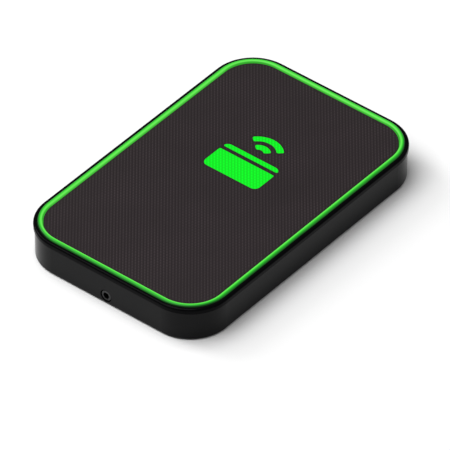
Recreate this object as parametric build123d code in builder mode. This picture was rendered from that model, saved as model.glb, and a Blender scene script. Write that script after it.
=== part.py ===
from build123d import *

import os
from math import cos, radians, sin

os.makedirs("parts", exist_ok=True)

# A flat wall reader for contactless tickets. X is its width, Y its length with the lock
# screw at the -Y end, Z its depth. The origin is the middle of the rear plane, which lies
# on the wall. All sizes are millimetres.

# ---- Overall sizes -------------------------------------------------------------------
bezel_width = 84.0
bezel_length = 130.8
bezel_corner = 16.6

# ---- Rear housing --------------------------------------------------------------------
housing_inset = 0.5
wall_thickness = 2.0
rear_edge_radius = 1.0
floor_z = 3.6
floor_thickness = 1.5
wiring_opening_width = 32.0
wiring_opening_length = 30.0
wiring_opening_corner = 4.0

# ---- Bezel, light ring and panel -----------------------------------------------------
shoulder_width = 1.4
shoulder_height = 2.05
shoulder_radius = 0.85
web_thickness = 2.2
spigot_height = 1.4
ring_seat_thickness = 0.6
spigot_clearance = 0.15
ring_width = 2.07
ring_rise = 0.55
ring_crown_radius = 0.9
ring_flange_width = 4.0
ring_flange_thickness = 0.8
flange_wall = 0.5
ring_clearance = 0.05
ring_foot_length = 6.0
ring_foot_width = 2.4
feet_per_side = 4
feet_per_end = 2
panel_gap = 0.15
panel_drop = 0.15
panel_edge_radius = 0.2
tape_thickness = 0.15
tape_width = 5.0

# ---- Lit sign: a plain card below two arcs ---------------------------------------------
sign_y = 16.5
sign_width = 25.0
sign_height = 26.0
card_height = 14.4
card_corner = 2.4
stripe_height = 1.8
stripe_drop = 3.0
arc_width = 2.6
arc_half_angle = 50.0
arc_gap = 2.1
sign_corner = 0.6
sign_clearance = 0.05
diffuser_margin = 3.0
diffuser_corner = 3.0

# ---- Main board ------------------------------------------------------------------------
board_standoff = 3.7
board_thickness = 1.6
board_clearance = 2.0

# ---- Fastening of the case -------------------------------------------------------------
boss_side_inset = 12.0
boss_end_inset = 15.4
pillar_radius = 3.6
case_screw_radius = 1.25
case_screw_head_radius = 2.25
case_screw_head_height = 1.6
case_screw_seat = 2.4
case_screw_socket = 1.5
case_screw_socket_depth = 0.9
case_screw_end_gap = 0.3
screw_hole_clearance = 0.2
head_recess_clearance = 0.35
thread_clearance = 0.05
insert_radius = 2.0
insert_length = 2.0
boss_radius = 2.9
boss_height = 0.6

# ---- Wall plate ------------------------------------------------------------------------
plate_thickness = 2.0
plate_clearance = 0.6
cable_opening_width = 34.0
cable_opening_length = 26.0
cable_opening_corner = 4.0
corner_hole_radius = 2.0
corner_hole_head_radius = 3.5
corner_holes_x = 50.0
corner_holes_y = 90.0
box_slots_x = 60.0
box_slot_radius = 2.1
box_slot_length = 8.0
box_slot_recess_depth = 1.0
box_slot_recess_margin = 2.0

# ---- Top hooks: tongues of the plate in pockets of the housing's top wall ----------------
hook_x = 22.0
hook_width = 8.0
hook_tongue_thickness = 0.9
hook_reach = 1.4
hook_riser_length = 2.6
hook_side_clearance = 0.8
hook_pull_clearance = 0.6
hook_tip_clearance = 0.4
hook_top_clearance = 0.7

# ---- Bottom lock: captive screw in the housing, threaded tab on the plate -----------------
lock_z = 3.6
lock_thread_radius = 1.5
lock_head_radius = 2.15
lock_head_height = 2.2
lock_head_sink = 0.2
lock_socket_size = 2.5
lock_socket_depth = 1.5
lock_head_edge = 0.25
lock_tip_chamfer = 0.4
lock_recess_radius = 2.5
lock_boss_wall = 0.8
lock_turns = 8
lock_pitch = 0.5
lock_seat_thickness = 1.3
washer_thickness = 0.8
washer_clearance = 0.05
tab_gap = 0.6
tab_thickness = 3.5
tab_half_width = 5.0
tab_roof = 0.5
lock_insert_radius = 2.1
tab_side_clearance = 0.6
dome_wall = 1.0
notch_clearance = 0.9

# ---- Electronics -------------------------------------------------------------------------
antenna_side_margin = 1.1
antenna_end_margin = 6.0
antenna_turns = 4
antenna_trace = 0.8
antenna_pitch = 1.5
antenna_thickness = 0.1
antenna_corner = 3.0
lamp_size = 2.8
lamp_height = 0.6
sign_lamp_pitch_x = 12.0
sign_lamp_pitch_y = 12.0
terminal_ways = 6
terminal_pitch = 4.0
terminal_depth = 8.0
terminal_height = 4.6
terminal_y = 9.5
terminal_screw_radius = 1.3
terminal_screw_length = 2.2
terminal_screw_sink = 0.3
terminal_slot_width = 0.5
terminal_slot_depth = 0.6
terminal_wire_hole = 2.2
terminal_wire_depth = 2.6
terminal_end_wall = 1.0
sensor_x = -24.0
sensor_y = -30.0
sensor_window_radius = 2.5
sensor_length = 3.4
sensor_width = 2.7
sensor_height = 1.5
sensor_eye_offset = 0.85
sensor_eye_radius = 0.6
sensor_eye_depth = 0.3
ferrite_thickness = 0.3
ferrite_width = 46.0
ferrite_length = 20.0
ferrite_y = 36.0
chip_chamfer = 0.15
lamp_chamfer = 0.1
processor_middle = (-19.0, 34.0)
processor_size = (12.0, 12.0)
processor_height = 1.2
radio_middle = (18.0, 36.0)
radio_size = (7.0, 7.0)
radio_height = 0.9
secure_middle = (2.0, -24.0)
secure_size = (5.0, 6.2)
secure_height = 1.4
crystal_middle = (6.0, 38.0)
crystal_size = (5.0, 3.2)
crystal_height = 1.0
inductor_middle = (-26.0, 4.0)
inductor_size = 7.0
inductor_corner = 1.0
inductor_height = 3.0
input_capacitor_middle = (-26.0, -8.0)
output_capacitor_middle = (-26.0, -14.0)
reserve_capacitor_middle = (26.0, 10.0)
capacitor_length = 6.0
capacitor_width = 3.2
capacitor_height = 2.6
buzzer_x = 22.0
buzzer_y = -30.0
buzzer_radius = 6.0
buzzer_height = 3.0
buzzer_edge = 0.3
buzzer_mouth = 1.5
buzzer_mouth_depth = 0.8
gasket_width = 0.8
gasket_height = 0.6
gasket_fit = 0.05

# ---- Derived sizes -----------------------------------------------------------------------
inner_inset = housing_inset + wall_thickness
inner_length = bezel_length - 2 * inner_inset
gasket_inset = housing_inset + (wall_thickness - gasket_width) / 2
floor_top_z = floor_z + floor_thickness
board_z = floor_top_z + board_standoff
board_top_z = board_z + board_thickness
web_bottom_z = board_top_z + boss_height
web_top_z = web_bottom_z + web_thickness
parting_z = web_bottom_z + spigot_height
shoulder_z = parting_z + shoulder_height
total_depth = shoulder_z + ring_rise
panel_top_z = shoulder_z - panel_drop
boss_x = bezel_width / 2 - boss_side_inset
boss_y = bezel_length / 2 - boss_end_inset
antenna_width = 2 * (boss_x - boss_radius - antenna_side_margin)
antenna_length = 2 * (boss_y - antenna_end_margin)
side_feet_pitch = (bezel_length - 2 * bezel_corner) / feet_per_side
end_feet_pitch = (bezel_width - 2 * bezel_corner) / feet_per_end
panel_inset = shoulder_width + ring_width + panel_gap
flange_inset = shoulder_width + ring_width + ring_flange_width
flange_z = web_top_z - ring_flange_thickness
flange_outer_inset = inner_inset + spigot_clearance + flange_wall
ring_seat_z = parting_z + ring_seat_thickness
end_y = housing_inset - bezel_length / 2
inner_end_y = end_y + wall_thickness
head_face_y = end_y + lock_head_sink
head_seat_y = head_face_y + lock_head_height
lock_travel = lock_turns * lock_pitch
washer_face_y = head_seat_y + washer_clearance
washer_end_y = washer_face_y + washer_thickness
recess_seat_y = washer_end_y + lock_travel + washer_clearance
lock_boss_end_y = recess_seat_y + lock_seat_thickness
tab_face_y = lock_boss_end_y + tab_gap
tab_end_y = tab_face_y + tab_thickness
tab_top_z = lock_z + lock_insert_radius + tab_roof
plate_end_y = inner_end_y + plate_clearance
lock_boss_radius = lock_recess_radius + lock_boss_wall
panel_bottom_z = web_top_z + tape_thickness
dome_half_width = tab_half_width + tab_side_clearance
dome_z = tab_top_z + tab_side_clearance
dome_end_y = tab_end_y + tab_side_clearance + dome_wall
notch_half_width = lock_boss_radius + notch_clearance
hook_tongue_z = plate_thickness
hook_pocket_depth = hook_reach - plate_clearance + hook_tip_clearance
hook_riser_y = inner_length / 2 - plate_clearance - hook_riser_length / 2
hook_tongue_y = inner_length / 2 - plate_clearance - (hook_riser_length - hook_reach) / 2
head_bottom_z = floor_z + case_screw_seat - case_screw_head_height
terminal_length = terminal_ways * terminal_pitch + 2 * terminal_end_wall
terminal_bottom_z = board_z - terminal_height
terminal_front_y = terminal_y - terminal_depth / 2
terminal_screw_y = terminal_y + terminal_depth / 4
terminal_wire_z = board_z - terminal_height / 2
terminal_x = [
    (index - (terminal_ways - 1) / 2) * terminal_pitch
    for index in range(terminal_ways)
]
foot_x = bezel_width / 2 - flange_inset + ring_foot_width / 2
foot_y = bezel_length / 2 - flange_inset + ring_foot_width / 2
side_feet = [
    (side * foot_x, (index - (feet_per_side - 1) / 2) * side_feet_pitch)
    for side in (-1, 1)
    for index in range(feet_per_side)
]
end_feet = [
    ((index - (feet_per_end - 1) / 2) * end_feet_pitch, side * foot_y)
    for side in (-1, 1)
    for index in range(feet_per_end)
]
diffuser_width = sign_width + 2 * diffuser_margin
diffuser_length = sign_height + 2 * diffuser_margin
arc_outer_radius = sign_height - card_height - arc_gap
arc_centre_y = sign_y + sign_height / 2 - arc_outer_radius
arc_radii = (arc_outer_radius, arc_outer_radius - arc_width - arc_gap)
wedge_x = sign_width * sin(radians(arc_half_angle))
wedge_y = arc_centre_y + sign_width * cos(radians(arc_half_angle))
wedge_points = [
    (0, arc_centre_y),
    (wedge_x, wedge_y),
    (0, arc_centre_y + sign_height),
    (-wedge_x, wedge_y),
]


def outline(inset):
    """The bezel's outline moved inward: width, length and corner radius."""
    return bezel_width - 2 * inset, bezel_length - 2 * inset, bezel_corner - inset


def save(name, part):
    """Label a finished piece and write it to its own file."""
    part.label = name
    export_step(part, f"parts/{name}.step")


# ---- Rear housing ------------------------------------------------------------------------
with BuildPart() as rear_housing:
    with BuildSketch():
        RectangleRounded(*outline(housing_inset))
    extrude(amount=parting_z)
    fillet(rear_housing.faces().sort_by(Axis.Z)[0].edges(), radius=rear_edge_radius)
    # the hollow above the floor, and the shallow one behind it for the wall plate
    with BuildSketch(Plane.XY.offset(floor_top_z)):
        RectangleRounded(*outline(inner_inset))
    extrude(amount=parting_z - floor_top_z, mode=Mode.SUBTRACT)
    with BuildSketch():
        RectangleRounded(*outline(inner_inset))
    extrude(amount=floor_z, mode=Mode.SUBTRACT)
    # dome over the plate's lock tab
    with BuildSketch(Plane.XY.offset(floor_z)):
        with Locations((0, (inner_end_y + dome_end_y) / 2)):
            Rectangle(2 * (dome_half_width + dome_wall), dome_end_y - inner_end_y)
    extrude(amount=dome_z + dome_wall - floor_z)
    with BuildSketch(Plane.XY.offset(floor_z)):
        with Locations((0, (lock_boss_end_y + dome_end_y - dome_wall) / 2)):
            Rectangle(2 * dome_half_width, dome_end_y - dome_wall - lock_boss_end_y)
    extrude(amount=dome_z - floor_z, mode=Mode.SUBTRACT)
    # boss of the lock screw, with a recess for its head and a hole for its thread
    with BuildSketch(Plane.XZ.offset(-inner_end_y)):
        with Locations((0, lock_z)):
            Circle(lock_boss_radius)
    extrude(amount=inner_end_y - lock_boss_end_y)
    with BuildSketch(Plane.XZ.offset(-end_y)):
        with Locations((0, lock_z)):
            Circle(lock_recess_radius)
    extrude(amount=end_y - recess_seat_y, mode=Mode.SUBTRACT)
    with BuildSketch(Plane.XZ.offset(-recess_seat_y)):
        with Locations((0, lock_z)):
            Circle(lock_thread_radius + screw_hole_clearance)
    extrude(amount=recess_seat_y - lock_boss_end_y, mode=Mode.SUBTRACT)
    # pockets in the top wall for the plate's tongues
    with BuildSketch(Plane.XY.offset(hook_tongue_z - hook_pull_clearance)):
        with Locations((-hook_x, inner_length / 2), (hook_x, inner_length / 2)):
            Rectangle(hook_width + 2 * hook_side_clearance, 2 * hook_pocket_depth)
    extrude(
        amount=hook_pull_clearance + hook_tongue_thickness + hook_top_clearance,
        mode=Mode.SUBTRACT,
    )
    # wiring opening and sensor window
    with BuildSketch(Plane.XY.offset(floor_z)):
        RectangleRounded(wiring_opening_width, wiring_opening_length, wiring_opening_corner)
        with Locations((sensor_x, sensor_y)):
            Circle(sensor_window_radius)
    extrude(amount=floor_thickness, mode=Mode.SUBTRACT)
    # pillars under the board, with recessed holes for the case screws
    with BuildSketch(Plane.XY.offset(floor_z)):
        with GridLocations(2 * boss_x, 2 * boss_y, 2, 2):
            Circle(pillar_radius)
    extrude(amount=board_z - floor_z)
    with BuildSketch(Plane.XY.offset(floor_z)):
        with GridLocations(2 * boss_x, 2 * boss_y, 2, 2):
            Circle(case_screw_head_radius + head_recess_clearance)
    extrude(amount=case_screw_seat, mode=Mode.SUBTRACT)
    with BuildSketch(Plane.XY.offset(floor_z)):
        with GridLocations(2 * boss_x, 2 * boss_y, 2, 2):
            Circle(case_screw_radius + screw_hole_clearance)
    extrude(amount=board_z - floor_z, mode=Mode.SUBTRACT)
    # groove for the seal in the rim
    with BuildSketch(Plane.XY.offset(parting_z)):
        RectangleRounded(*outline(gasket_inset - gasket_fit))
        RectangleRounded(*outline(gasket_inset + gasket_width + gasket_fit), mode=Mode.SUBTRACT)
    extrude(amount=-gasket_height, mode=Mode.SUBTRACT)
save("rear_housing", rear_housing.part)

with BuildPart() as seal_gasket:
    with BuildSketch(Plane.XY.offset(parting_z)):
        RectangleRounded(*outline(gasket_inset))
        RectangleRounded(*outline(gasket_inset + gasket_width), mode=Mode.SUBTRACT)
    extrude(amount=-gasket_height)
save("seal_gasket", seal_gasket.part)

# ---- Front bezel: a gloss frame with a web that carries the face -----------------------------
with BuildPart() as front_bezel:
    with BuildSketch(Plane.XY.offset(parting_z)):
        RectangleRounded(*outline(0))
    extrude(amount=shoulder_z - parting_z)
    fillet(front_bezel.faces().sort_by(Axis.Z)[-1].edges(), radius=shoulder_radius)
    # spigot inside the housing's rim
    with BuildSketch(Plane.XY.offset(web_bottom_z)):
        RectangleRounded(*outline(inner_inset + spigot_clearance))
    extrude(amount=parting_z - web_bottom_z)
    # bosses on the board for the case screws' inserts
    with BuildSketch(Plane.XY.offset(board_top_z)):
        with GridLocations(2 * boss_x, 2 * boss_y, 2, 2):
            Circle(boss_radius)
    extrude(amount=web_bottom_z - board_top_z)
    with BuildSketch(Plane.XY.offset(board_top_z)):
        with GridLocations(2 * boss_x, 2 * boss_y, 2, 2):
            Circle(insert_radius)
    extrude(amount=insert_length, mode=Mode.SUBTRACT)
    # seats for the panel and the ring's bead, and the deeper step for the ring's flange
    with BuildSketch(Plane.XY.offset(web_top_z)):
        RectangleRounded(*outline(shoulder_width))
    extrude(amount=shoulder_z - web_top_z, mode=Mode.SUBTRACT)
    with BuildSketch(Plane.XY.offset(ring_seat_z)):
        RectangleRounded(*outline(shoulder_width))
        RectangleRounded(*outline(flange_inset + ring_clearance), mode=Mode.SUBTRACT)
    extrude(amount=web_top_z - ring_seat_z, mode=Mode.SUBTRACT)
    with BuildSketch(Plane.XY.offset(flange_z)):
        RectangleRounded(*outline(flange_outer_inset - ring_clearance))
        RectangleRounded(*outline(flange_inset + ring_clearance), mode=Mode.SUBTRACT)
    extrude(amount=ring_flange_thickness, mode=Mode.SUBTRACT)
    # windows for the ring's feet and for the sign's diffuser
    with BuildSketch(Plane.XY.offset(web_bottom_z)):
        with Locations(*side_feet):
            Rectangle(ring_foot_width + 2 * ring_clearance, ring_foot_length + 2 * ring_clearance)
        with Locations(*end_feet):
            Rectangle(ring_foot_length + 2 * ring_clearance, ring_foot_width + 2 * ring_clearance)
        with Locations((0, sign_y)):
            RectangleRounded(
                diffuser_width + 2 * ring_clearance,
                diffuser_length + 2 * ring_clearance,
                diffuser_corner + ring_clearance,
            )
    extrude(amount=web_thickness, mode=Mode.SUBTRACT)
save("front_bezel", front_bezel.part)

with BuildPart() as light_ring:
    # domed bead
    with BuildSketch(Plane.XY.offset(ring_seat_z)):
        RectangleRounded(*outline(shoulder_width + ring_clearance))
        RectangleRounded(*outline(shoulder_width + ring_width), mode=Mode.SUBTRACT)
    extrude(amount=total_depth - ring_seat_z)
    fillet(light_ring.faces().sort_by(Axis.Z)[-1].edges(), radius=ring_crown_radius)
    # flange under the panel, with feet down to the lamps
    with BuildSketch(Plane.XY.offset(ring_seat_z)):
        RectangleRounded(*outline(shoulder_width + ring_clearance))
        RectangleRounded(*outline(flange_inset), mode=Mode.SUBTRACT)
    extrude(amount=web_top_z - ring_seat_z)
    with BuildSketch(Plane.XY.offset(flange_z)):
        RectangleRounded(*outline(flange_outer_inset))
        RectangleRounded(*outline(flange_inset), mode=Mode.SUBTRACT)
    extrude(amount=ring_flange_thickness)
    with BuildSketch(Plane.XY.offset(web_bottom_z)):
        with Locations(*side_feet):
            Rectangle(ring_foot_width, ring_foot_length)
        with Locations(*end_feet):
            Rectangle(ring_foot_length, ring_foot_width)
    extrude(amount=flange_z - web_bottom_z)
save("light_ring", light_ring.part)

# ---- Panel and lit sign -------------------------------------------------------------------
with BuildSketch() as sign:
    with Locations((0, sign_y - sign_height / 2 + card_height / 2)):
        RectangleRounded(sign_width, card_height, card_corner)
    with Locations((0, sign_y - sign_height / 2 + card_height - stripe_drop)):
        Rectangle(sign_width, stripe_height, mode=Mode.SUBTRACT)
    for outer_radius in arc_radii:
        with BuildSketch(mode=Mode.PRIVATE) as arc_band:
            with Locations((0, arc_centre_y)):
                Circle(outer_radius)
                Circle(outer_radius - arc_width, mode=Mode.SUBTRACT)
            with BuildLine(mode=Mode.ADD):
                Polyline(*wedge_points, close=True)
            make_face(mode=Mode.INTERSECT)
        add(arc_band.sketch)
    fillet(sign.vertices(), radius=sign_corner)

with BuildPart() as front_panel:
    with BuildSketch(Plane.XY.offset(panel_bottom_z)):
        RectangleRounded(*outline(panel_inset))
    extrude(amount=panel_top_z - panel_bottom_z)
    fillet(front_panel.faces().sort_by(Axis.Z)[-1].edges(), radius=panel_edge_radius)
    with BuildSketch(Plane.XY.offset(panel_bottom_z)):
        add(sign.sketch)
        offset(amount=sign_clearance)
    extrude(amount=panel_top_z - panel_bottom_z, mode=Mode.SUBTRACT)
save("front_panel", front_panel.part)

with BuildPart() as symbol_lens:
    with BuildSketch(Plane.XY.offset(panel_bottom_z)):
        add(sign.sketch)
    extrude(amount=panel_top_z - panel_bottom_z)
save("symbol_lens", symbol_lens.part)

with BuildPart() as symbol_diffuser:
    with BuildSketch(Plane.XY.offset(web_bottom_z)):
        with Locations((0, sign_y)):
            RectangleRounded(diffuser_width, diffuser_length, diffuser_corner)
    extrude(amount=panel_bottom_z - web_bottom_z)
save("symbol_diffuser", symbol_diffuser.part)

with BuildPart() as panel_tape:
    with BuildSketch(Plane.XY.offset(web_top_z)):
        RectangleRounded(*outline(panel_inset))
        RectangleRounded(*outline(panel_inset + tape_width), mode=Mode.SUBTRACT)
    extrude(amount=tape_thickness)
save("panel_tape", panel_tape.part)

# ---- Case screws and their inserts -----------------------------------------------------------
with BuildPart() as case_screws:
    with BuildSketch(Plane.XY.offset(head_bottom_z)):
        with GridLocations(2 * boss_x, 2 * boss_y, 2, 2):
            Circle(case_screw_head_radius)
    extrude(amount=case_screw_head_height)
    with BuildSketch(Plane.XY.offset(floor_z + case_screw_seat)):
        with GridLocations(2 * boss_x, 2 * boss_y, 2, 2):
            Circle(case_screw_radius)
    extrude(amount=board_top_z + insert_length - case_screw_end_gap - floor_z - case_screw_seat)
    with BuildSketch(Plane.XY.offset(head_bottom_z)):
        with GridLocations(2 * boss_x, 2 * boss_y, 2, 2):
            RegularPolygon(case_screw_socket / 2, 6, major_radius=False)
    extrude(amount=case_screw_socket_depth, mode=Mode.SUBTRACT)
save("case_screws", case_screws.part)

with BuildPart() as bezel_inserts:
    with BuildSketch(Plane.XY.offset(board_top_z)):
        with GridLocations(2 * boss_x, 2 * boss_y, 2, 2):
            Circle(insert_radius)
            Circle(case_screw_radius + thread_clearance, mode=Mode.SUBTRACT)
    extrude(amount=insert_length)
save("bezel_inserts", bezel_inserts.part)

# ---- Wall plate ------------------------------------------------------------------------------
with BuildPart() as mounting_plate:
    with BuildSketch():
        RectangleRounded(*outline(inner_inset + plate_clearance))
        RectangleRounded(
            cable_opening_width, cable_opening_length, cable_opening_corner, mode=Mode.SUBTRACT
        )
        with Locations((0, (plate_end_y + tab_face_y) / 2)):
            Rectangle(2 * notch_half_width, tab_face_y - plate_end_y, mode=Mode.SUBTRACT)
        with GridLocations(box_slots_x, 0, 2, 1):
            SlotOverall(box_slot_length, 2 * box_slot_radius, mode=Mode.SUBTRACT)
        with GridLocations(corner_holes_x, corner_holes_y, 2, 2):
            Circle(corner_hole_radius, mode=Mode.SUBTRACT)
    extrude(amount=plate_thickness)
    # recesses for the heads of the wall screws
    with BuildSketch(Plane.XY.offset(plate_thickness)):
        with GridLocations(box_slots_x, 0, 2, 1):
            SlotOverall(
                box_slot_length + 2 * box_slot_recess_margin,
                2 * (box_slot_radius + box_slot_recess_margin),
            )
    extrude(amount=-box_slot_recess_depth, mode=Mode.SUBTRACT)
    with Locations(Plane.XY.offset(plate_thickness)):
        with GridLocations(corner_holes_x, corner_holes_y, 2, 2):
            CounterSinkHole(corner_hole_radius, corner_hole_head_radius)
    # lock tab
    with BuildSketch():
        with Locations((0, (tab_face_y + tab_end_y) / 2)):
            Rectangle(2 * tab_half_width, tab_thickness)
    extrude(amount=tab_top_z)
    with BuildSketch(Plane.XZ.offset(-tab_face_y)):
        with Locations((0, lock_z)):
            Circle(lock_insert_radius)
    extrude(amount=-tab_thickness, mode=Mode.SUBTRACT)
    # hooks: a riser with a tongue that points to the top wall
    with BuildSketch():
        with Locations((-hook_x, hook_riser_y), (hook_x, hook_riser_y)):
            Rectangle(hook_width, hook_riser_length)
    extrude(amount=hook_tongue_z + hook_tongue_thickness)
    with BuildSketch(Plane.XY.offset(hook_tongue_z)):
        with Locations((-hook_x, hook_tongue_y), (hook_x, hook_tongue_y)):
            Rectangle(hook_width, hook_riser_length + hook_reach)
    extrude(amount=hook_tongue_thickness)
save("mounting_plate", mounting_plate.part)

with BuildPart() as plate_nut:
    with BuildSketch(Plane.XZ.offset(-tab_face_y)):
        with Locations((0, lock_z)):
            Circle(lock_insert_radius)
            Circle(lock_thread_radius + thread_clearance, mode=Mode.SUBTRACT)
    extrude(amount=-tab_thickness)
save("plate_nut", plate_nut.part)

# ---- Lock screw, backed out and ready to be driven in ----------------------------------------
with BuildPart() as lock_screw:
    with BuildSketch(Plane.XZ.offset(-head_face_y)):
        with Locations((0, lock_z)):
            Circle(lock_head_radius)
    extrude(amount=-lock_head_height)
    fillet(lock_screw.faces().sort_by(Axis.Y)[0].edges(), radius=lock_head_edge)
    with BuildSketch(Plane.XZ.offset(-head_seat_y)):
        with Locations((0, lock_z)):
            Circle(lock_thread_radius)
    extrude(amount=head_seat_y - lock_boss_end_y)
    chamfer(lock_screw.faces().sort_by(Axis.Y)[-1].edges(), length=lock_tip_chamfer)
    with BuildSketch(Plane.XZ.offset(-head_face_y)):
        with Locations((0, lock_z)):
            RegularPolygon(lock_socket_size / 2, 6, major_radius=False)
    extrude(amount=-lock_socket_depth, mode=Mode.SUBTRACT)
save("lock_screw", lock_screw.part)

with BuildPart() as lock_washer:
    with BuildSketch(Plane.XZ.offset(-washer_face_y)):
        with Locations((0, lock_z)):
            Circle(lock_recess_radius - washer_clearance)
            Circle(lock_thread_radius + washer_clearance, mode=Mode.SUBTRACT)
    extrude(amount=-washer_thickness)
save("lock_washer", lock_washer.part)

# ---- Main board and what is on it -------------------------------------------------------------
with BuildPart() as main_board:
    with BuildSketch(Plane.XY.offset(board_z)):
        RectangleRounded(*outline(inner_inset + board_clearance))
        with GridLocations(2 * boss_x, 2 * boss_y, 2, 2):
            Circle(case_screw_radius + screw_hole_clearance, mode=Mode.SUBTRACT)
    extrude(amount=board_thickness)
save("main_board", main_board.part)

# the antenna is one flat spiral: after each turn its path lies one pitch further in
antenna_points = [(-antenna_width / 2, -antenna_length / 2)]
for turn in range(antenna_turns):
    half_x = antenna_width / 2 - turn * antenna_pitch
    half_y = antenna_length / 2 - turn * antenna_pitch
    antenna_points += [(half_x, -half_y), (half_x, half_y), (-half_x, half_y)]
    antenna_points += [(-half_x, antenna_pitch - half_y)]

with BuildPart() as antenna_coil:
    with BuildSketch(Plane.XY.offset(board_top_z)):
        with BuildLine():
            FilletPolyline(*antenna_points, radius=antenna_corner)
        trace(line_width=antenna_trace)
    extrude(amount=antenna_thickness)
save("antenna_coil", antenna_coil.part)

with BuildPart() as ring_leds:
    with BuildSketch(Plane.XY.offset(board_top_z)):
        with Locations(*side_feet, *end_feet):
            Rectangle(lamp_size, lamp_size)
    extrude(amount=lamp_height)
    chamfer(ring_leds.faces().filter_by(Axis.Z).group_by(Axis.Z)[-1].edges(), length=lamp_chamfer)
save("ring_leds", ring_leds.part)

with BuildPart() as symbol_leds:
    with BuildSketch(Plane.XY.offset(board_top_z)):
        with Locations((0, sign_y)):
            with GridLocations(sign_lamp_pitch_x, sign_lamp_pitch_y, 2, 2):
                Rectangle(lamp_size, lamp_size)
    extrude(amount=lamp_height)
    chamfer(symbol_leds.faces().filter_by(Axis.Z).group_by(Axis.Z)[-1].edges(), length=lamp_chamfer)
save("symbol_leds", symbol_leds.part)

# chips hang under the board: name, middle, size and height
chips = (
    ("processor_chip", processor_middle, processor_size, processor_height),
    ("radio_chip", radio_middle, radio_size, radio_height),
    ("secure_chip", secure_middle, secure_size, secure_height),
    ("quartz_crystal", crystal_middle, crystal_size, crystal_height),
)
for name, middle, (size_x, size_y), height in chips:
    with BuildPart() as chip:
        with BuildSketch(Plane.XY.offset(board_z)):
            with Locations(middle):
                Rectangle(size_x, size_y)
        extrude(amount=-height)
        chamfer(chip.faces().sort_by(Axis.Z)[0].edges(), length=chip_chamfer)
    save(name, chip.part)

with BuildPart() as power_inductor:
    with BuildSketch(Plane.XY.offset(board_z)):
        with Locations(inductor_middle):
            RectangleRounded(inductor_size, inductor_size, inductor_corner)
    extrude(amount=-inductor_height)
    chamfer(power_inductor.faces().sort_by(Axis.Z)[0].edges(), length=chip_chamfer)
save("power_inductor", power_inductor.part)

with BuildPart() as supply_capacitors:
    with BuildSketch(Plane.XY.offset(board_z)):
        with Locations(input_capacitor_middle, output_capacitor_middle, reserve_capacitor_middle):
            Rectangle(capacitor_length, capacitor_width)
    extrude(amount=-capacitor_height)
    chamfer(
        supply_capacitors.faces().filter_by(Axis.Z).group_by(Axis.Z)[0].edges(),
        length=chip_chamfer,
    )
save("supply_capacitors", supply_capacitors.part)

with BuildPart() as buzzer:
    with BuildSketch(Plane.XY.offset(board_z)):
        with Locations((buzzer_x, buzzer_y)):
            Circle(buzzer_radius)
    extrude(amount=-buzzer_height)
    fillet(buzzer.faces().sort_by(Axis.Z)[0].edges(), radius=buzzer_edge)
    with BuildSketch(Plane.XY.offset(board_z - buzzer_height)):
        with Locations((buzzer_x, buzzer_y)):
            Circle(buzzer_mouth)
    extrude(amount=buzzer_mouth_depth, mode=Mode.SUBTRACT)
save("buzzer", buzzer.part)

# an optical sensor that sees the wall plate through the floor's window
with BuildPart() as tamper_sensor:
    with BuildSketch(Plane.XY.offset(board_z)):
        with Locations((sensor_x, sensor_y)):
            Rectangle(sensor_length, sensor_width)
    extrude(amount=-sensor_height)
    with BuildSketch(Plane.XY.offset(board_z - sensor_height)):
        with Locations((sensor_x - sensor_eye_offset, sensor_y), (sensor_x + sensor_eye_offset, sensor_y)):
            Circle(sensor_eye_radius)
    extrude(amount=sensor_eye_depth, mode=Mode.SUBTRACT)
save("tamper_sensor", tamper_sensor.part)

# ---- Wiring terminals, reached through the wiring opening ---------------------------------------
with BuildPart() as terminal_block:
    with BuildSketch(Plane.XY.offset(board_z)):
        with Locations((0, terminal_y)):
            Rectangle(terminal_length, terminal_depth)
    extrude(amount=-terminal_height)
    with BuildSketch(Plane.XY.offset(terminal_bottom_z)):
        with Locations(*[(way_x, terminal_screw_y) for way_x in terminal_x]):
            Circle(terminal_screw_radius + screw_hole_clearance)
    extrude(amount=terminal_screw_sink + terminal_screw_length, mode=Mode.SUBTRACT)
    with BuildSketch(Plane.XZ.offset(-terminal_front_y)):
        with Locations(*[(way_x, terminal_wire_z) for way_x in terminal_x]):
            Rectangle(terminal_wire_hole, terminal_wire_hole)
    extrude(amount=-terminal_wire_depth, mode=Mode.SUBTRACT)
save("terminal_block", terminal_block.part)

with BuildPart() as terminal_screws:
    with BuildSketch(Plane.XY.offset(terminal_bottom_z + terminal_screw_sink)):
        with Locations(*[(way_x, terminal_screw_y) for way_x in terminal_x]):
            Circle(terminal_screw_radius)
    extrude(amount=terminal_screw_length)
    with BuildSketch(Plane.XY.offset(terminal_bottom_z + terminal_screw_sink)):
        with Locations(*[(way_x, terminal_screw_y) for way_x in terminal_x]):
            Rectangle(2 * terminal_screw_radius, terminal_slot_width)
    extrude(amount=terminal_slot_depth, mode=Mode.SUBTRACT)
save("terminal_screws", terminal_screws.part)

# a sheet behind the antenna, between the board and the housing's floor
with BuildPart() as ferrite_sheet:
    with BuildSketch(Plane.XY.offset(floor_top_z)):
        with Locations((0, ferrite_y)):
            Rectangle(ferrite_width, ferrite_length)
    extrude(amount=ferrite_thickness)
save("ferrite_sheet", ferrite_sheet.part)
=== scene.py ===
import math

import bmesh
import bpy
from mathutils import Matrix, Vector


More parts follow.
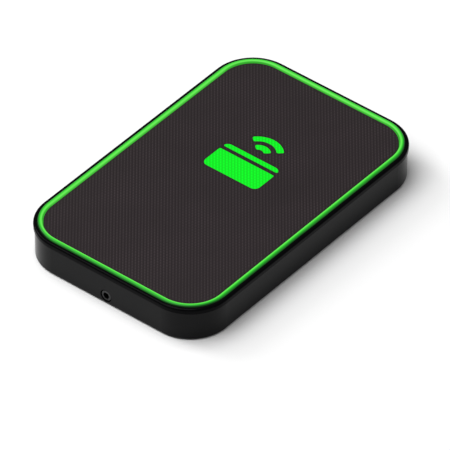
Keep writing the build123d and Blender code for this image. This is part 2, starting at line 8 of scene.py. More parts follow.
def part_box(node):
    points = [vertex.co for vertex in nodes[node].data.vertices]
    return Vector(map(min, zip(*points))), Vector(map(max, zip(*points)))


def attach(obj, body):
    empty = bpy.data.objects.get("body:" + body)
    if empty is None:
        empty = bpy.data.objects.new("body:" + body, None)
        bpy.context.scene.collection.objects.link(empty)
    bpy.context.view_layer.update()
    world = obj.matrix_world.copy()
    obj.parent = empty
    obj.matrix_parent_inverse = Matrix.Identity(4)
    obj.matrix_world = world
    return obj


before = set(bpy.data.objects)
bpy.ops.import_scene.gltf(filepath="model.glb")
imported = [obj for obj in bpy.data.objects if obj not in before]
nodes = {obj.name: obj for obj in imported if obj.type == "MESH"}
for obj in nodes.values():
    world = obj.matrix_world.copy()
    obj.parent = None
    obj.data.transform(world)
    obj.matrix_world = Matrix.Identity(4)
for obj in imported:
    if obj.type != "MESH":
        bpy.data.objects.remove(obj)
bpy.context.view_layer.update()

MM = 0.001

# A flat wall reader for contactless tickets: a dark satin tub, a polished black bezel, a lit
# green ring round a dark woven-pattern panel with a lit sign, and a hidden wall plate.
# Sizes that the frame doesn't give are named here, in metres unless a comment says otherwise.

# The light ring: half sizes of its outer edge, and the screen colours of its glow with painted light on
# it, from the inner flank at 0 over the crown at about 0.5 to the outer flank at 1. The pale stops are a
# painted highlight on the inner flank and crown, and the dark outer flank is painted shade.
RING_HALF_WIDTH = 40.6 * MM
RING_HALF_LENGTH = 64.0 * MM
RING_INNERMOST = (52, 170, 44)
RING_OUTER_PAINTED_SHADE = (10, 34, 14)
RING_HAZE = (70, 200, 60)
# Real green glow, with a painted highlight at 0.22 and 0.46 and painted shade from 0.64 outward.
RING_GLOW_AND_PAINTED_LIGHT = (
    (0.22, (108, 240, 90)),
    (0.46, (96, 236, 80)),
    (0.54, (46, 208, 42)),
    (0.64, (36, 178, 38)),
    (0.82, (34, 128, 40)),
)

# The woven pattern: stepped rows of dashes on a diagonal, and the low raised threads on them.
WEAVE_TURN = math.radians(39.2)
ROW_PITCH = 1.11 * MM
DASH_PITCH = 1.5 * MM
DASH_DEPTH = 0.45
FACE_CORNER = 13.1 * MM
THREAD_ROWS = 136
THREAD_DASHES = 101
THREAD_MARGIN = 0.9 * MM
THREAD_SINK = 0.01 * MM
THREAD_HEIGHT = 0.035 * MM
THREAD_FOOT = (0.3 * MM, 0.56 * MM, 0.2 * MM)
THREAD_CREST = (0.2 * MM, 0.46 * MM, 0.13 * MM)
SIGN_GAP = 0.75 * MM

# The lock screw's knurls: distance along the head and half width at each step, in millimetres.
KNURLS = 26
KNURL_START = 0.45 * MM
KNURL_STEPS = ((0.0, 0.05), (0.1, 0.11), (1.35, 0.11), (1.45, 0.05))
KNURL_ROUNDNESS = 0.9

# A chip's leg: reach and drop at each bend, and the corners of its section, in millimetres.
LEG_BENDS = ((-0.15, 0.6), (0.3, 0.6), (0.5, 0.1), (1.0, 0.06))
LEG_SECTION = ((0.12, 0.05), (-0.12, 0.05), (-0.12, -0.05), (0.12, -0.05))
FINE_LEG_PITCH = 0.65 * MM
WIDE_LEG_PITCH = 1.27 * MM

# Chip resistors: height and inset at each step, and half sizes, in millimetres.
RESISTOR_STEPS = ((0.02, 0.04), (-0.06, 0.0), (-0.4, 0.0), (-0.48, 0.05))
RESISTOR_BODY = (0.62, 0.42)
RESISTOR_END = (0.16, 0.45)
RESISTOR_CORNER = 0.06
RESISTOR_END_PLACE = 0.7

# The wall plate's ribs: height and inset at each step, and half sizes, in millimetres.
PLATE_FACE = 2.0 * MM
RIB_GROUP_PLACE = 29.0 * MM
RIB_STEPS = ((-0.1, 0.0), (0.55, 0.06), (0.75, 0.2))
RIB_HALF = (19.0, 0.5)
RIB_CORNER = 0.48

# Surfaces: the middle part of a noise's values, the depth of fine grain, how far a metal's marks
# are stretched, and the angle past which an edge stays sharp.
MIDDLE = (0.3, 0.7)
GRAIN_DEPTH = 0.01 * MM
METAL_LINES = (4000.0, 4000.0, 300.0)
SHARP_ANGLE = math.radians(35)

# The studio. Each lamp has a name, a place, a side length and a power in watts.
FLOOR_HALF = 3.0
FLOOR_DROP = -0.02 * MM
FLOOR_WHITE = 0.96
AIR_STRENGTH = 0.3
SOFT_LIGHTS = (
    ("overhead_softbox", (-0.4, -0.35, 1.45), 1.4, 22.0),
    ("side_softbox", (-1.1, -0.15, 0.8), 0.5, 5.0),
)

# The camera: angles in degrees, and its lens in millimetres.
CAMERA_TURN = 39.21
CAMERA_RISE = 40.3
CAMERA_DISTANCE = 2.707
CAMERA_LENS = 606.0
CAMERA_TARGET = (5.4 * MM, -5.05 * MM, 0.0)
CAMERA_NEAR = 0.1
CAMERA_FAR = 20.0


# ---- Meshes -------------------------------------------------------------------------------
def rounded_loop(half_x, half_y, radius, height, steps=3):
    """Points of a rounded rectangle about the origin, at a height."""
    points = []
    corners = ((1, 1, 0), (-1, 1, 90), (-1, -1, 180), (1, -1, 270))
    for side_x, side_y, start in corners:
        for step in range(steps + 1):
            angle = math.radians(start + 90 * step / steps)
            x = side_x * (half_x - radius) + radius * math.cos(angle)
            y = side_y * (half_y - radius) + radius * math.sin(angle)
            points.append(Vector((x, y, height)))
    return points


def stacked(name, loops):
    """A closed solid through a stack of loops with the same number of points."""
    mesh = bmesh.new()
    rings = [[mesh.verts.new(point) for point in loop] for loop in loops]
    for lower, upper in zip(rings, rings[1:]):
        for k in range(len(lower)):
            n = (k + 1) % len(lower)
            mesh.faces.new((lower[k], lower[n], upper[n], upper[k]))
    mesh.faces.new(rings[0])
    mesh.faces.new(rings[-1])
    return finished_mesh(name, mesh)


def finished_mesh(name, mesh):
    """Makes an object of a bmesh, with outward normals, smooth between its sharp edges."""
    bmesh.ops.recalc_face_normals(mesh, faces=mesh.faces)
    for face in mesh.faces:
        face.smooth = True
    for edge in mesh.edges:
        if len(edge.link_faces) == 2 and edge.calc_face_angle(0) > SHARP_ANGLE:
            edge.smooth = False
    data = bpy.data.meshes.new(name)
    mesh.to_mesh(data)
    mesh.free()
    piece = bpy.data.objects.new(name, data)
    bpy.context.scene.collection.objects.link(piece)
    return piece


# ---- Material helpers -----------------------------------------------------------------------
class Nodes:
    """A small wrapper that adds nodes to one material and joins them."""

    def __init__(self, name):
        self.material = bpy.data.materials.new(name)
        self.material.use_nodes = True
        self.tree = self.material.node_tree
        self.shader = self.tree.nodes["Principled BSDF"]
        self.coordinates = self.add("ShaderNodeTexCoord").outputs
        self.place = self.coordinates["Object"]

    def add(self, kind, **settings):
        node = self.tree.nodes.new(kind)
        for key, value in settings.items():
            setattr(node, key, value)
        return node

    def join(self, output, socket):
        self.tree.links.new(output, socket)

    def noise(self, scale, detail=3.0, roughness=0.55, source=None):
        node = self.add("ShaderNodeTexNoise")
        node.inputs["Scale"].default_value = scale
        node.inputs["Detail"].default_value = detail
        node.inputs["Roughness"].default_value = roughness
        self.join(source or self.place, node.inputs["Vector"])
        return node.outputs["Fac"]

    def span(self, value, low, high, from_low=0.0, from_high=1.0):
        node = self.add("ShaderNodeMapRange")
        node.inputs["From Min"].default_value = from_low
        node.inputs["From Max"].default_value = from_high
        node.inputs["To Min"].default_value = low
        node.inputs["To Max"].default_value = high
        self.join(value, node.inputs["Value"])
        return node.outputs["Result"]

    def math(self, operation, first, second=None, third=None):
        node = self.add("ShaderNodeMath", operation=operation)
        for socket, value in zip(node.inputs, (first, second, third)):
            if value is None:
                continue
            if isinstance(value, (int, float)):
                socket.default_value = value
            else:
                self.join(value, socket)
        return node.outputs[0]

    def mix(self, factor, first, second):
        node = self.add("ShaderNodeMix", data_type="RGBA")
        self.join(factor, node.inputs["Factor"])
        for socket, colour in ((node.inputs["A"], first), (node.inputs["B"], second)):
            if isinstance(colour, tuple):
                socket.default_value = (*colour, 1.0)
            else:
                self.join(colour, socket)
        return node.outputs["Result"]

    def bump(self, height, distance, strength=1.0):
        node = self.add("ShaderNodeBump")
        node.inputs["Distance"].default_value = distance
        node.inputs["Strength"].default_value = strength
        self.join(height, node.inputs["Height"])
        return node.outputs["Normal"]

    def set(self, name, value):
        socket = self.shader.inputs[name]
        if isinstance(value, tuple):
            socket.default_value = (*value, 1.0)
        elif isinstance(value, (int, float)):
            socket.default_value = value
        else:
            self.join(value, socket)


def linear(red, green, blue):
    """A colour given as it looks on a screen, 0 to 255, as light."""
    values = []
    for part in (red, green, blue):
        c = part / 255
        values.append(c / 12.92 if c <= 0.04045 else ((c + 0.055) / 1.055) ** 2.4)
    return tuple(values)


def moulded_plastic(name, light, dark, rough=0.45, specular=0.4):
    """Spark-textured plastic: fine grain in the surface, slow drift in tone and gloss."""
    made = Nodes(name)
    drift = made.noise(scale=45.0, detail=4.0)
    grit = made.noise(scale=2600.0, detail=2.0, roughness=0.6)
    made.set("Base Color", made.mix(made.span(drift, 0.0, 1.0, *MIDDLE), dark, light))
    made.set("Roughness", made.span(grit, rough - 0.06, rough + 0.06, *MIDDLE))
    made.set("Specular IOR Level", specular)
    made.set("Normal", made.bump(grit, GRAIN_DEPTH))
    return made.material


def polished_plastic(name, colour, rough=0.12, specular=0.03):
    """Polished plastic with the faint waviness of a moulding and a few soft smears."""
    made = Nodes(name)
    wave = made.noise(scale=60.0, detail=1.0)
    smear = made.noise(scale=220.0, detail=6.0, roughness=0.65)
    made.set("Base Color", made.mix(smear, colour, tuple(1.6 * c + 0.0006 for c in colour)))
    made.set("Roughness", made.span(smear, rough * 0.7, rough * 1.6, 0.35, 0.7))
    made.set("Specular IOR Level", specular)
    made.set("Normal", made.bump(wave, 0.02 * MM, 0.25))
    return made.material


def plain_metal(name, light, dark, rough=0.32):
    """Turned or plated metal: fine marks stretched along one direction."""
    made = Nodes(name)
    stretch = made.add("ShaderNodeMapping")
    stretch.inputs["Scale"].default_value = METAL_LINES
    made.join(made.place, stretch.inputs["Vector"])
    marks = made.noise(scale=1.0, detail=4.0, source=stretch.outputs["Vector"])
    stain = made.noise(scale=300.0, detail=5.0)
    made.set("Base Color", made.mix(made.span(stain, 0.0, 1.0, 0.35, 0.65), light, dark))
    made.set("Metallic", 1.0)
    made.set("Roughness", made.span(marks, rough - 0.1, rough + 0.12, *MIDDLE))
    made.set("Normal", made.bump(marks, GRAIN_DEPTH, 0.5))
    return made.material


def soft_rubber(name, colour):
    """Matt rubber with a dusty bloom."""
    made = Nodes(name)
    bloom = made.noise(scale=120.0, detail=5.0)
    grit = made.noise(scale=3500.0, detail=2.0)
    pale = tuple(2.2 * c + 0.01 for c in colour)
    made.set("Base Color", made.mix(made.span(bloom, 0.0, 0.5, 0.4, 0.8), colour, pale))
    made.set("Roughness", made.span(grit, 0.7, 0.9, *MIDDLE))
    made.set("Sheen Weight", 0.15)
    made.set("Normal", made.bump(grit, GRAIN_DEPTH))
    return made.material


def satin_shell():
    """The tub's satin black plastic."""
    return moulded_plastic(
        "satin_black_shell", linear(9, 9, 10), linear(5, 5, 6), rough=0.2, specular=0.1
    )


def ring_light():
    """The light guide's green glow, with a painted highlight on its inner flank and crown and painted
    shade dimming down its outer flank.
    """
    made = Nodes("lit_green_guide")
    scaled = made.add("ShaderNodeMapping")
    scaled.inputs["Scale"].default_value = (1 / RING_HALF_WIDTH, 1 / RING_HALF_LENGTH, 0.0)
    made.join(made.place, scaled.inputs["Vector"])
    outward = made.add("ShaderNodeVectorMath", operation="DOT_PRODUCT")
    made.join(scaled.outputs["Vector"], outward.inputs[0])
    made.join(made.coordinates["Normal"], outward.inputs[1])
    lumps = made.noise(scale=90.0, detail=2.0)
    # The ramp follows how far the surface leans outward: its pale stops paint a highlight on the inner
    # flank and crown, and its dark end paints shade on the outer flank.
    glow_and_painted_light = made.add("ShaderNodeValToRGB")
    made.join(made.span(outward.outputs["Value"], 0.0, 1.0, -1.0, 1.0), glow_and_painted_light.inputs["Fac"])
    stops = glow_and_painted_light.color_ramp.elements
    stops[0].color = (*linear(*RING_INNERMOST), 1.0)
    stops[1].color = (*linear(*RING_OUTER_PAINTED_SHADE), 1.0)
    for position, colour in RING_GLOW_AND_PAINTED_LIGHT:
        stop = stops.new(position)
        stop.color = (*linear(*colour), 1.0)
    patches = made.span(lumps, 0.0, 0.12, 0.35, 0.7)
    haze = made.mix(patches, glow_and_painted_light.outputs["Color"], linear(*RING_HAZE))
    made.set("Base Color", (0.0, 0.006, 0.0))
    made.set("Roughness", made.span(lumps, 0.26, 0.36))
    made.set("Specular IOR Level", 0.12)
    made.set("Emission Color", haze)
    made.set("Emission Strength", 1.0)
    return made.material


def weave_factor(made):
    """How far each spot is up a thread: bars on a diagonal, cut into dashes that step by row."""
    turn = made.add("ShaderNodeMapping")
    turn.inputs["Rotation"].default_value = (0.0, 0.0, -WEAVE_TURN)
    made.join(made.place, turn.inputs["Vector"])
    split = made.add("ShaderNodeSeparateXYZ")
    made.join(turn.outputs["Vector"], split.inputs["Vector"])
    across, along = split.outputs["X"], split.outputs["Y"]
    row = made.math("DIVIDE", across, ROW_PITCH)
    bars = made.math("PINGPONG", row, 0.5)
    odd = made.math("FLOORED_MODULO", made.math("FLOOR", row), 2.0)
    half_step = made.math("MULTIPLY", odd, 0.5)
    shifted = made.math("ADD", made.math("DIVIDE", along, DASH_PITCH), half_step)
    dashes = made.math("PINGPONG", shifted, 0.5)
    bar = made.span(bars, 0.0, 1.0, 0.14, 0.36)
    dash = made.span(dashes, 0.0, 1.0, 0.08, 0.3)
    depth = made.math("MULTIPLY", dash, DASH_DEPTH)
    return made.math("MULTIPLY", bar, made.math("ADD", depth, 1.0 - DASH_DEPTH))


def woven_panel():
    """The dark satin face with its fine woven pattern."""
    made = Nodes("woven_dark_panel")
    weave = weave_factor(made)
    drift = made.noise(scale=25.0, detail=3.0)
    thread = made.mix(weave, linear(34, 28, 30), linear(44, 37, 39))
    patches = made.span(drift, 0.0, 0.35, 0.35, 0.7)
    made.set("Base Color", made.mix(patches, thread, linear(40, 34, 36)))
    made.set("Roughness", made.span(weave, 0.62, 0.5))
    made.set("Specular IOR Level", 0.12)
    made.set("Normal", made.bump(weave, 0.02 * MM, 0.4))
    return made.material


def thread_finish():
    """The raised threads: a shade paler than the face, with a slow drift in tone."""
    made = Nodes("pale_thread")
    drift = made.noise(scale=60.0, detail=3.0)
    grain = made.noise(scale=1800.0, detail=2.0)
    tone = made.span(drift, 0.0, 1.0, *MIDDLE)
    made.set("Base Color", made.mix(tone, linear(43, 37, 39), linear(52, 44, 47)))
    made.set("Roughness", made.span(grain, 0.48, 0.62, *MIDDLE))
    made.set("Specular IOR Level", 0.14)
    made.set("Normal", made.bump(grain, 0.004 * MM))
    return made.material


def lit_sign():
    """The lit window, with the face's pattern printed faintly over it."""
    made = Nodes("lit_green_sign")
    weave = weave_factor(made)
    made.set("Base Color", (0.0, 0.01, 0.0))
    made.set("Roughness", made.span(weave, 0.5, 0.4))
    made.set("Emission Color", made.mix(weave, linear(6, 226, 30), linear(8, 255, 40)))
    made.set("Emission Strength", 1.0)
    made.set("Specular IOR Level", 0.1)
    return made.material


def board_laminate():
    """Solder mask over a glass-fibre weave, with faint tracks."""
    made = Nodes("board_solder_mask")
    weave = made.noise(scale=900.0, detail=1.0)
    tracks = made.add("ShaderNodeTexBrick")
    tracks.inputs["Scale"].default_value = 160.0
    tracks.inputs["Mortar Size"].default_value = 0.03
    made.join(made.place, tracks.inputs["Vector"])
    made.set("Base Color", made.mix(tracks.outputs["Fac"], (0.012, 0.09, 0.035), (0.03, 0.2, 0.08)))
    made.set("Roughness", made.span(weave, 0.28, 0.42))
    made.set("Coat Weight", 0.3)
    made.set("Normal", made.bump(tracks.outputs["Fac"], 0.03 * MM))
    return made.material


finishes = {
    "rear_housing": satin_shell(),
    "front_bezel": polished_plastic("polished_black_bezel", linear(4, 4, 5)),
    "light_ring": ring_light(),
    "front_panel": woven_panel(),
    "symbol_lens": lit_sign(),
    "symbol_diffuser": moulded_plastic("milky_diffuser", (0.85, 0.86, 0.84), (0.75, 0.77, 0.74)),
    "panel_tape": soft_rubber("foam_tape", (0.02, 0.02, 0.02)),
    "seal_gasket": soft_rubber("black_seal", (0.03, 0.03, 0.03)),
    "mounting_plate": moulded_plastic("grained_plate", (0.1, 0.102, 0.105), (0.075, 0.077, 0.08), 0.5),
    "main_board": board_laminate(),
    "antenna_coil": plain_metal("masked_copper", (0.5, 0.32, 0.1), (0.3, 0.25, 0.08)),
    "bezel_inserts": plain_metal("turned_brass", (0.72, 0.52, 0.22), (0.55, 0.38, 0.14)),
    "case_screws": plain_metal("zinc_plate", (0.6, 0.6, 0.61), (0.45, 0.45, 0.47)),
    "lock_washer": moulded_plastic("natural_nylon", (0.8, 0.8, 0.76), (0.7, 0.7, 0.66)),
    "lock_screw": plain_metal("black_oxide", (0.06, 0.06, 0.062), (0.03, 0.03, 0.03), 0.35),
    "ring_leds": moulded_plastic("lamp_body", (0.9, 0.9, 0.82), (0.8, 0.8, 0.7)),
    "quartz_crystal": plain_metal("tinned_can", (0.66, 0.66, 0.66), (0.5, 0.5, 0.5)),
    "supply_capacitors": moulded_plastic("capacitor_body", (0.75, 0.5, 0.08), (0.6, 0.38, 0.05)),
    "processor_chip": moulded_plastic("chip_epoxy", (0.035, 0.035, 0.037), (0.025, 0.025, 0.026)),
    "buzzer": moulded_plastic("buzzer_case", (0.025, 0.025, 0.025), (0.018, 0.018, 0.018)),
    "terminal_block": moulded_plastic("green_terminal", (0.035, 0.32, 0.13), (0.025, 0.24, 0.1)),
    "ferrite_sheet": soft_rubber("ferrite", (0.12, 0.12, 0.13)),
}
shared_finish = {
    "plate_nut": "bezel_inserts",
    "symbol_leds": "ring_leds",
    "radio_chip": "processor_chip",
    "secure_chip": "processor_chip",
    "power_inductor": "processor_chip",
    "tamper_sensor": "processor_chip",
    "terminal_screws": "case_screws",
}
for name, piece in nodes.items():
    finish = finishes[shared_finish.get(name, name)]
    piece.data.materials.clear()
    piece.data.materials.append(finish)


# ---- Pieces that repeat, grown by Geometry Nodes -----------------------------------------------
class Growth:
    """A Geometry Nodes tree with named sizes, which repeats one small shape."""

    def __init__(self, name, sizes):
        self.tree = bpy.data.node_groups.new(name, "GeometryNodeTree")
        self.sizes = sizes
        self.tree.interface.new_socket("Geometry", in_out="OUTPUT", socket_type="NodeSocketGeometry")
        for label, value in sizes.items():
            kind = "NodeSocketInt" if isinstance(value, int) else "NodeSocketFloat"
            self.tree.interface.new_socket(label, in_out="INPUT", socket_type=kind)
        self.start = self.tree.nodes.new("NodeGroupInput")

    def size(self, label):
        return self.start.outputs[label]

    def node(self, kind, inputs, **settings):
        node = self.tree.nodes.new(kind)
        for key, value in settings.items():
            setattr(node, key, value)
        for key, value in inputs.items():
            if isinstance(value, bpy.types.NodeSocket):
                self.tree.links.new(value, node.inputs[key])
            else:
                node.inputs[key].default_value = value
        return node

    def math(self, operation, first, second=0.0):
        return self.node("ShaderNodeMath", {0: first, 1: second}, operation=operation).outputs[0]

    def vector(self, operation, first, second=(0.0, 0.0, 0.0)):
        return self.node("ShaderNodeVectorMath", {0: first, 1: second}, operation=operation)

    def xyz(self, x=0.0, y=0.0, z=0.0):
        return self.node("ShaderNodeCombineXYZ", {"X": x, "Y": y, "Z": z}).outputs[0]

    def moved(self, geometry, place, turn=(0.0, 0.0, 0.0)):
        inputs = {"Geometry": geometry, "Translation": place, "Rotation": turn}
        return self.node("GeometryNodeTransform", inputs).outputs[0]

    def shape(self, piece):
        return self.node("GeometryNodeObjectInfo", {"Object": piece}).outputs["Geometry"]

    def placed(self, points, shape, turn=(0.0, 0.0, 0.0)):
        inputs = {"Points": points, "Instance": shape, "Rotation": turn}
        return self.node("GeometryNodeInstanceOnPoints", inputs).outputs[0]

    def grow(self, name, geometry, finish, pattern):
        """Runs the tree and keeps its result as a plain mesh; the pattern shape is removed."""
        whole = self.node("GeometryNodeRealizeInstances", {"Geometry": geometry}).outputs[0]
        coated = self.node("GeometryNodeSetMaterial", {"Geometry": whole, "Material": finish})
        end = self.tree.nodes.new("NodeGroupOutput")
        self.tree.links.new(coated.outputs[0], end.inputs[0])
        piece = bpy.data.objects.new(name, bpy.data.meshes.new(name + "_start"))
        bpy.context.scene.collection.objects.link(piece)
        modifier = piece.modifiers.new("growth", "NODES")
        modifier.node_group = self.tree
        for item in self.tree.interface.items_tree:
            if item.in_out == "INPUT":
                modifier[item.identifier] = self.sizes[item.name]
        ready = piece.evaluated_get(bpy.context.evaluated_depsgraph_get())
        mesh = bpy.data.meshes.new_from_object(ready)
        piece.modifiers.remove(modifier)
        piece.data = mesh
        mesh.name = name
        mesh.materials.clear()
        mesh.materials.append(finish)
        for face in mesh.polygons:
            face.material_index = 0
        bpy.data.objects.remove(pattern)
        return piece


def face_threads():
    """Low raised dashes that cover the face in stepped rows, clear of its edge and the sign."""
    low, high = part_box("front_panel")
    sizes = {
        "Row pitch": ROW_PITCH,
        "Dash pitch": DASH_PITCH,
        "Rows": THREAD_ROWS,
        "Dashes": THREAD_DASHES,
        "Turn": WEAVE_TURN,
        "Half width": (high.x - low.x) / 2 - THREAD_MARGIN,
        "Half length": (high.y - low.y) / 2 - THREAD_MARGIN,
        "Corner": FACE_CORNER - THREAD_MARGIN,
        "Sign gap": SIGN_GAP,
        "Height": high.z - THREAD_SINK,
    }
    foot = rounded_loop(*THREAD_FOOT, 0.0, steps=1)
    crest = rounded_loop(*THREAD_CREST, THREAD_SINK + THREAD_HEIGHT, steps=1)
    dash = stacked("thread_dash", [foot, crest])
    grown = Growth("face_threads", sizes)
    rows, dashes = grown.size("Rows"), grown.size("Dashes")
    span_x = grown.math("MULTIPLY", grown.math("SUBTRACT", rows, 1.0), grown.size("Row pitch"))
    span_y = grown.math("MULTIPLY", grown.math("SUBTRACT", dashes, 1.0), grown.size("Dash pitch"))
    field = {"Size X": span_x, "Size Y": span_y, "Vertices X": rows, "Vertices Y": dashes}
    grid = grown.node("GeometryNodeMeshGrid", field).outputs["Mesh"]
    index = grown.node("GeometryNodeInputIndex", {}).outputs[0]
    row = grown.math("FLOOR", grown.math("DIVIDE", index, dashes))
    odd = grown.math("FLOORED_MODULO", row, 2.0)
    half_step = grown.math("MULTIPLY", odd, grown.math("MULTIPLY", grown.size("Dash pitch"), 0.5))
    stepped = grown.node("GeometryNodeSetPosition", {"Geometry": grid, "Offset": grown.xyz(y=half_step)})
    turn = grown.xyz(z=grown.size("Turn"))
    laid = grown.moved(stepped.outputs[0], grown.xyz(z=grown.size("Height")), turn)
    place = grown.node("GeometryNodeInputPosition", {}).outputs[0]
    corner = grown.size("Corner")
    core_x = grown.math("SUBTRACT", grown.size("Half width"), corner)
    core_y = grown.math("SUBTRACT", grown.size("Half length"), corner)
    flat = grown.vector("MULTIPLY", place, (1.0, 1.0, 0.0)).outputs[0]
    spread = grown.vector("ABSOLUTE", flat).outputs[0]
    past = grown.vector("SUBTRACT", spread, grown.xyz(core_x, core_y, 0.0)).outputs[0]
    outside = grown.vector("LENGTH", grown.vector("MAXIMUM", past).outputs[0]).outputs["Value"]
    off_face = grown.math("GREATER_THAN", outside, corner)
    near = grown.node("GeometryNodeProximity", {0: grown.shape(nodes["symbol_lens"])})
    on_sign = grown.math("LESS_THAN", near.outputs["Distance"], grown.size("Sign gap"))
    spare = grown.math("MAXIMUM", off_face, on_sign)
    kept = grown.node("GeometryNodeDeleteGeometry", {"Geometry": laid, "Selection": spare})
    threads = grown.placed(kept.outputs[0], grown.shape(dash), turn)
    return grown.grow("face_threads", threads, thread_finish(), dash)


def head_knurls():
    """Fine straight knurls round the lock screw's head."""
    low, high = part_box("lock_screw")
    sizes = {
        "Knurls": KNURLS,
        "Head radius": (high.x - low.x) / 2,
        "Start": low.y + KNURL_START,
        "Middle height": (low.z + high.z) / 2,
    }
    loops = []
    for reach, half in KNURL_STEPS:
        radius = half * MM * KNURL_ROUNDNESS
        loops.append(rounded_loop(half * MM, half * MM, radius, reach * MM, steps=2))
    rib = stacked("knurl", loops)
    rib.data.transform(Matrix.Rotation(math.radians(-90), 4, "X"))
    grown = Growth("head_knurls", sizes)
    ring_sizes = {"Vertices": grown.size("Knurls"), "Radius": grown.size("Head radius")}
    circle = grown.node("GeometryNodeMeshCircle", ring_sizes).outputs[0]
    place = grown.xyz(y=grown.size("Start"), z=grown.size("Middle height"))
    ring = grown.moved(circle, place, (math.radians(90), 0.0, 0.0))
    knurls = grown.placed(ring, grown.shape(rib))
    return grown.grow("head_knurls", knurls, finishes["lock_screw"], rib)


def chip_legs(chip, per_side, pitch, sides):
    """Bent legs along the sides of a chip that hangs under the board."""
    low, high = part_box(chip)
    sizes = {
        "Legs per side": per_side,
        "Pitch": pitch,
        "Sides": sides,
        "Half width": (high.x - low.x) / 2,
        "Middle x": (low.x + high.x) / 2,
        "Middle y": (low.y + high.y) / 2,
        "Board height": high.z,
    }
    loops = []
    for reach, drop in LEG_BENDS:
        x, z = reach * MM, -drop * MM
        loops.append([Vector((x, y * MM, z + up * MM)) for y, up in LEG_SECTION])
    leg = stacked("leg", loops)
    grown = Growth(chip + "_legs", sizes)
    step = grown.size("Pitch")
    last = grown.math("SUBTRACT", grown.size("Legs per side"), 1.0)
    first_y = grown.math("MULTIPLY", grown.math("MULTIPLY", last, step), -0.5)
    line = {
        "Count": grown.size("Legs per side"),
        "Start Location": grown.xyz(grown.size("Half width"), first_y, 0.0),
        "Offset": grown.xyz(y=step),
    }
    row = grown.placed(grown.node("GeometryNodeMeshLine", line).outputs[0], grown.shape(leg))
    hub = {"Count": grown.size("Sides"), "Offset": (0.0, 0.0, 0.0)}
    middle = grown.node("GeometryNodeMeshLine", hub).outputs[0]
    index = grown.node("GeometryNodeInputIndex", {}).outputs[0]
    share = grown.math("DIVIDE", 2 * math.pi, grown.size("Sides"))
    around = grown.placed(middle, row, grown.xyz(z=grown.math("MULTIPLY", index, share)))
    place = grown.xyz(grown.size("Middle x"), grown.size("Middle y"), grown.size("Board height"))
    return grown.grow(chip + "_legs", grown.moved(around, place), finishes["quartz_crystal"], leg)


def grid_of(name, pattern, sizes, finish):
    """A grid of one small shape. A fixed seed picks the ones that are left out."""
    grown = Growth(name, sizes)
    gaps_x = grown.math("SUBTRACT", grown.size("Columns"), 1.0)
    gaps_y = grown.math("SUBTRACT", grown.size("Lines"), 1.0)
    field = {
        "Size X": grown.math("MULTIPLY", gaps_x, grown.size("Column pitch")),
        "Size Y": grown.math("MULTIPLY", gaps_y, grown.size("Line pitch")),
        "Vertices X": grown.size("Columns"),
        "Vertices Y": grown.size("Lines"),
    }
    grid = grown.node("GeometryNodeMeshGrid", field).outputs["Mesh"]
    chance = grown.node("FunctionNodeRandomValue", {"Seed": grown.size("Seed")}, data_type="FLOAT")
    bare = grown.math("LESS_THAN", chance.outputs[1], grown.size("Left out"))
    kept = grown.node("GeometryNodeDeleteGeometry", {"Geometry": grid, "Selection": bare})
    place = grown.xyz(grown.size("Middle x"), grown.size("Middle y"), grown.size("Height"))
    laid = grown.moved(kept.outputs[0], place)
    return grown.grow(name, grown.placed(laid, grown.shape(pattern)), finish, pattern)


def stepped_block(name, steps, half_sizes, corner, side_inset=1.0, corner_inset=0.0):
    """A rounded block that pulls in at its edges; the sizes are in millimetres."""
    loops = []
    for height, inset in steps:
        half_x = (half_sizes[0] - inset * side_inset) * MM
        half_y = (half_sizes[1] - inset) * MM
        radius = (corner - inset * corner_inset) * MM
        loops.append(rounded_loop(half_x, half_y, radius, height * MM))
    return stacked(name, loops)


def small_resistors():
    """Chip resistors under the board: dark bodies with tinned ends, in two pieces."""
    sizes = {
        "Columns": 4,
        "Lines": 4,
        "Column pitch": 3.4 * MM,
        "Line pitch": 2.2 * MM,
        "Middle x": -19.0 * MM,
        "Middle y": 21.0 * MM,
        "Height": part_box("main_board")[0].z,
        "Left out": 0.2,
        "Seed": 7,
    }
    body = stepped_block("resistor_body", RESISTOR_STEPS, RESISTOR_BODY, RESISTOR_CORNER)
    ends = stepped_block("resistor_end", RESISTOR_STEPS, RESISTOR_END, RESISTOR_CORNER, 0.5)
    other = ends.data.copy()
    ends.data.transform(Matrix.Translation((RESISTOR_END_PLACE * MM, 0.0, 0.0)))
    other.transform(Matrix.Translation((-RESISTOR_END_PLACE * MM, 0.0, 0.0)))
    both = bmesh.new()
    both.from_mesh(ends.data)
    both.from_mesh(other)
    both.to_mesh(ends.data)
    both.free()
    return (
        grid_of("resistor_bodies", body, sizes, finishes["processor_chip"]),
        grid_of("resistor_ends", ends, sizes, finishes["quartz_crystal"]),
    )


def plate_ribs(name, middle_y):
    """Stiffening ribs across the wall plate's front, above or below its cable opening."""
    sizes = {
        "Columns": 1,
        "Lines": 8,
        "Column pitch": 0.0,
        "Line pitch": 3.0 * MM,
        "Middle x": 0.0,
        "Middle y": middle_y,
        "Height": PLATE_FACE,
        "Left out": 0.0,
        "Seed": 1,
    }
    rib = stepped_block("rib", RIB_STEPS, RIB_HALF, RIB_CORNER, corner_inset=1.0)
    return grid_of(name, rib, sizes, finishes["mounting_plate"])


def add_repeats():
    """Grows the repeated pieces and gives each its body."""
    resistor_bodies, resistor_ends = small_resistors()
    grown = (
        (face_threads(), "reader", "panel_weave"),
        (head_knurls(), "lock_screw_body", "lock_black"),
        (chip_legs("processor_chip", 16, FINE_LEG_PITCH, 4), "reader", "crystal_can"),
        (chip_legs("secure_chip", 4, WIDE_LEG_PITCH, 2), "reader", "crystal_can"),
        (resistor_bodies, "reader", "chip_black"),
        (resistor_ends, "reader", "crystal_can"),
        (plate_ribs("lower_plate_ribs", -RIB_GROUP_PLACE), "wall_plate", "plate_plastic"),
        (plate_ribs("upper_plate_ribs", RIB_GROUP_PLACE), "wall_plate", "plate_plastic"),
    )
    for piece, body, slot in grown:
        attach(piece, body)


add_repeats()


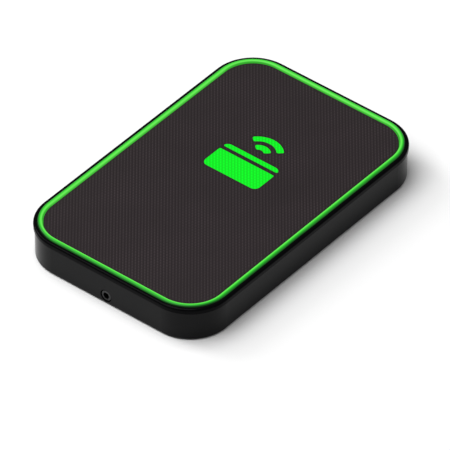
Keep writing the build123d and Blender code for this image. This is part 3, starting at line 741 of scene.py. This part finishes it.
# ---- Floor, light and camera ------------------------------------------------------------------
def studio():
    """A pale floor, even air light, and two soft lamps from above and the left."""
    floor_mesh = bmesh.new()
    bmesh.ops.create_grid(floor_mesh, x_segments=1, y_segments=1, size=FLOOR_HALF)
    floor = finished_mesh("floor", floor_mesh)
    floor.data.transform(Matrix.Translation((0, 0, FLOOR_DROP)))
    paper = Nodes("white_paper")
    paper.set("Base Color", (FLOOR_WHITE, FLOOR_WHITE, FLOOR_WHITE))
    paper.set("Roughness", paper.span(paper.noise(scale=4.0), 0.85, 0.95))
    paper.set("Specular IOR Level", 0.0)
    floor.data.materials.append(paper.material)

    world = bpy.data.worlds.new("studio_air")
    world.use_nodes = True
    air = world.node_tree.nodes["Background"]
    air.inputs["Color"].default_value = (1.0, 1.0, 1.0, 1.0)
    air.inputs["Strength"].default_value = AIR_STRENGTH
    bpy.context.scene.world = world

    for name, place, size, watts in SOFT_LIGHTS:
        lamp = bpy.data.lights.new(name, "AREA")
        lamp.shape = "SQUARE"
        lamp.size = size
        lamp.energy = watts
        holder = bpy.data.objects.new(name, lamp)
        holder.location = place
        holder.rotation_mode = "QUATERNION"
        holder.rotation_quaternion = (-Vector(place)).to_track_quat("-Z", "Y")
        bpy.context.scene.collection.objects.link(holder)


def make_camera():
    """The camera looks down over the lock screw's end and the long side."""
    camera = bpy.data.cameras.new("camera")
    camera.lens = CAMERA_LENS
    camera.clip_start = CAMERA_NEAR
    camera.clip_end = CAMERA_FAR
    holder = bpy.data.objects.new("camera", camera)
    turn, rise = math.radians(CAMERA_TURN), math.radians(CAMERA_RISE)
    level = math.cos(rise)
    back = Vector((math.sin(turn) * level, -math.cos(turn) * level, math.sin(rise)))
    holder.location = Vector(CAMERA_TARGET) + back * CAMERA_DISTANCE
    holder.rotation_mode = "QUATERNION"
    holder.rotation_quaternion = (-back).to_track_quat("-Z", "Y")
    bpy.context.scene.collection.objects.link(holder)
    bpy.context.scene.camera = holder


studio()
make_camera()
bpy.context.scene.view_settings.view_transform = "Standard"
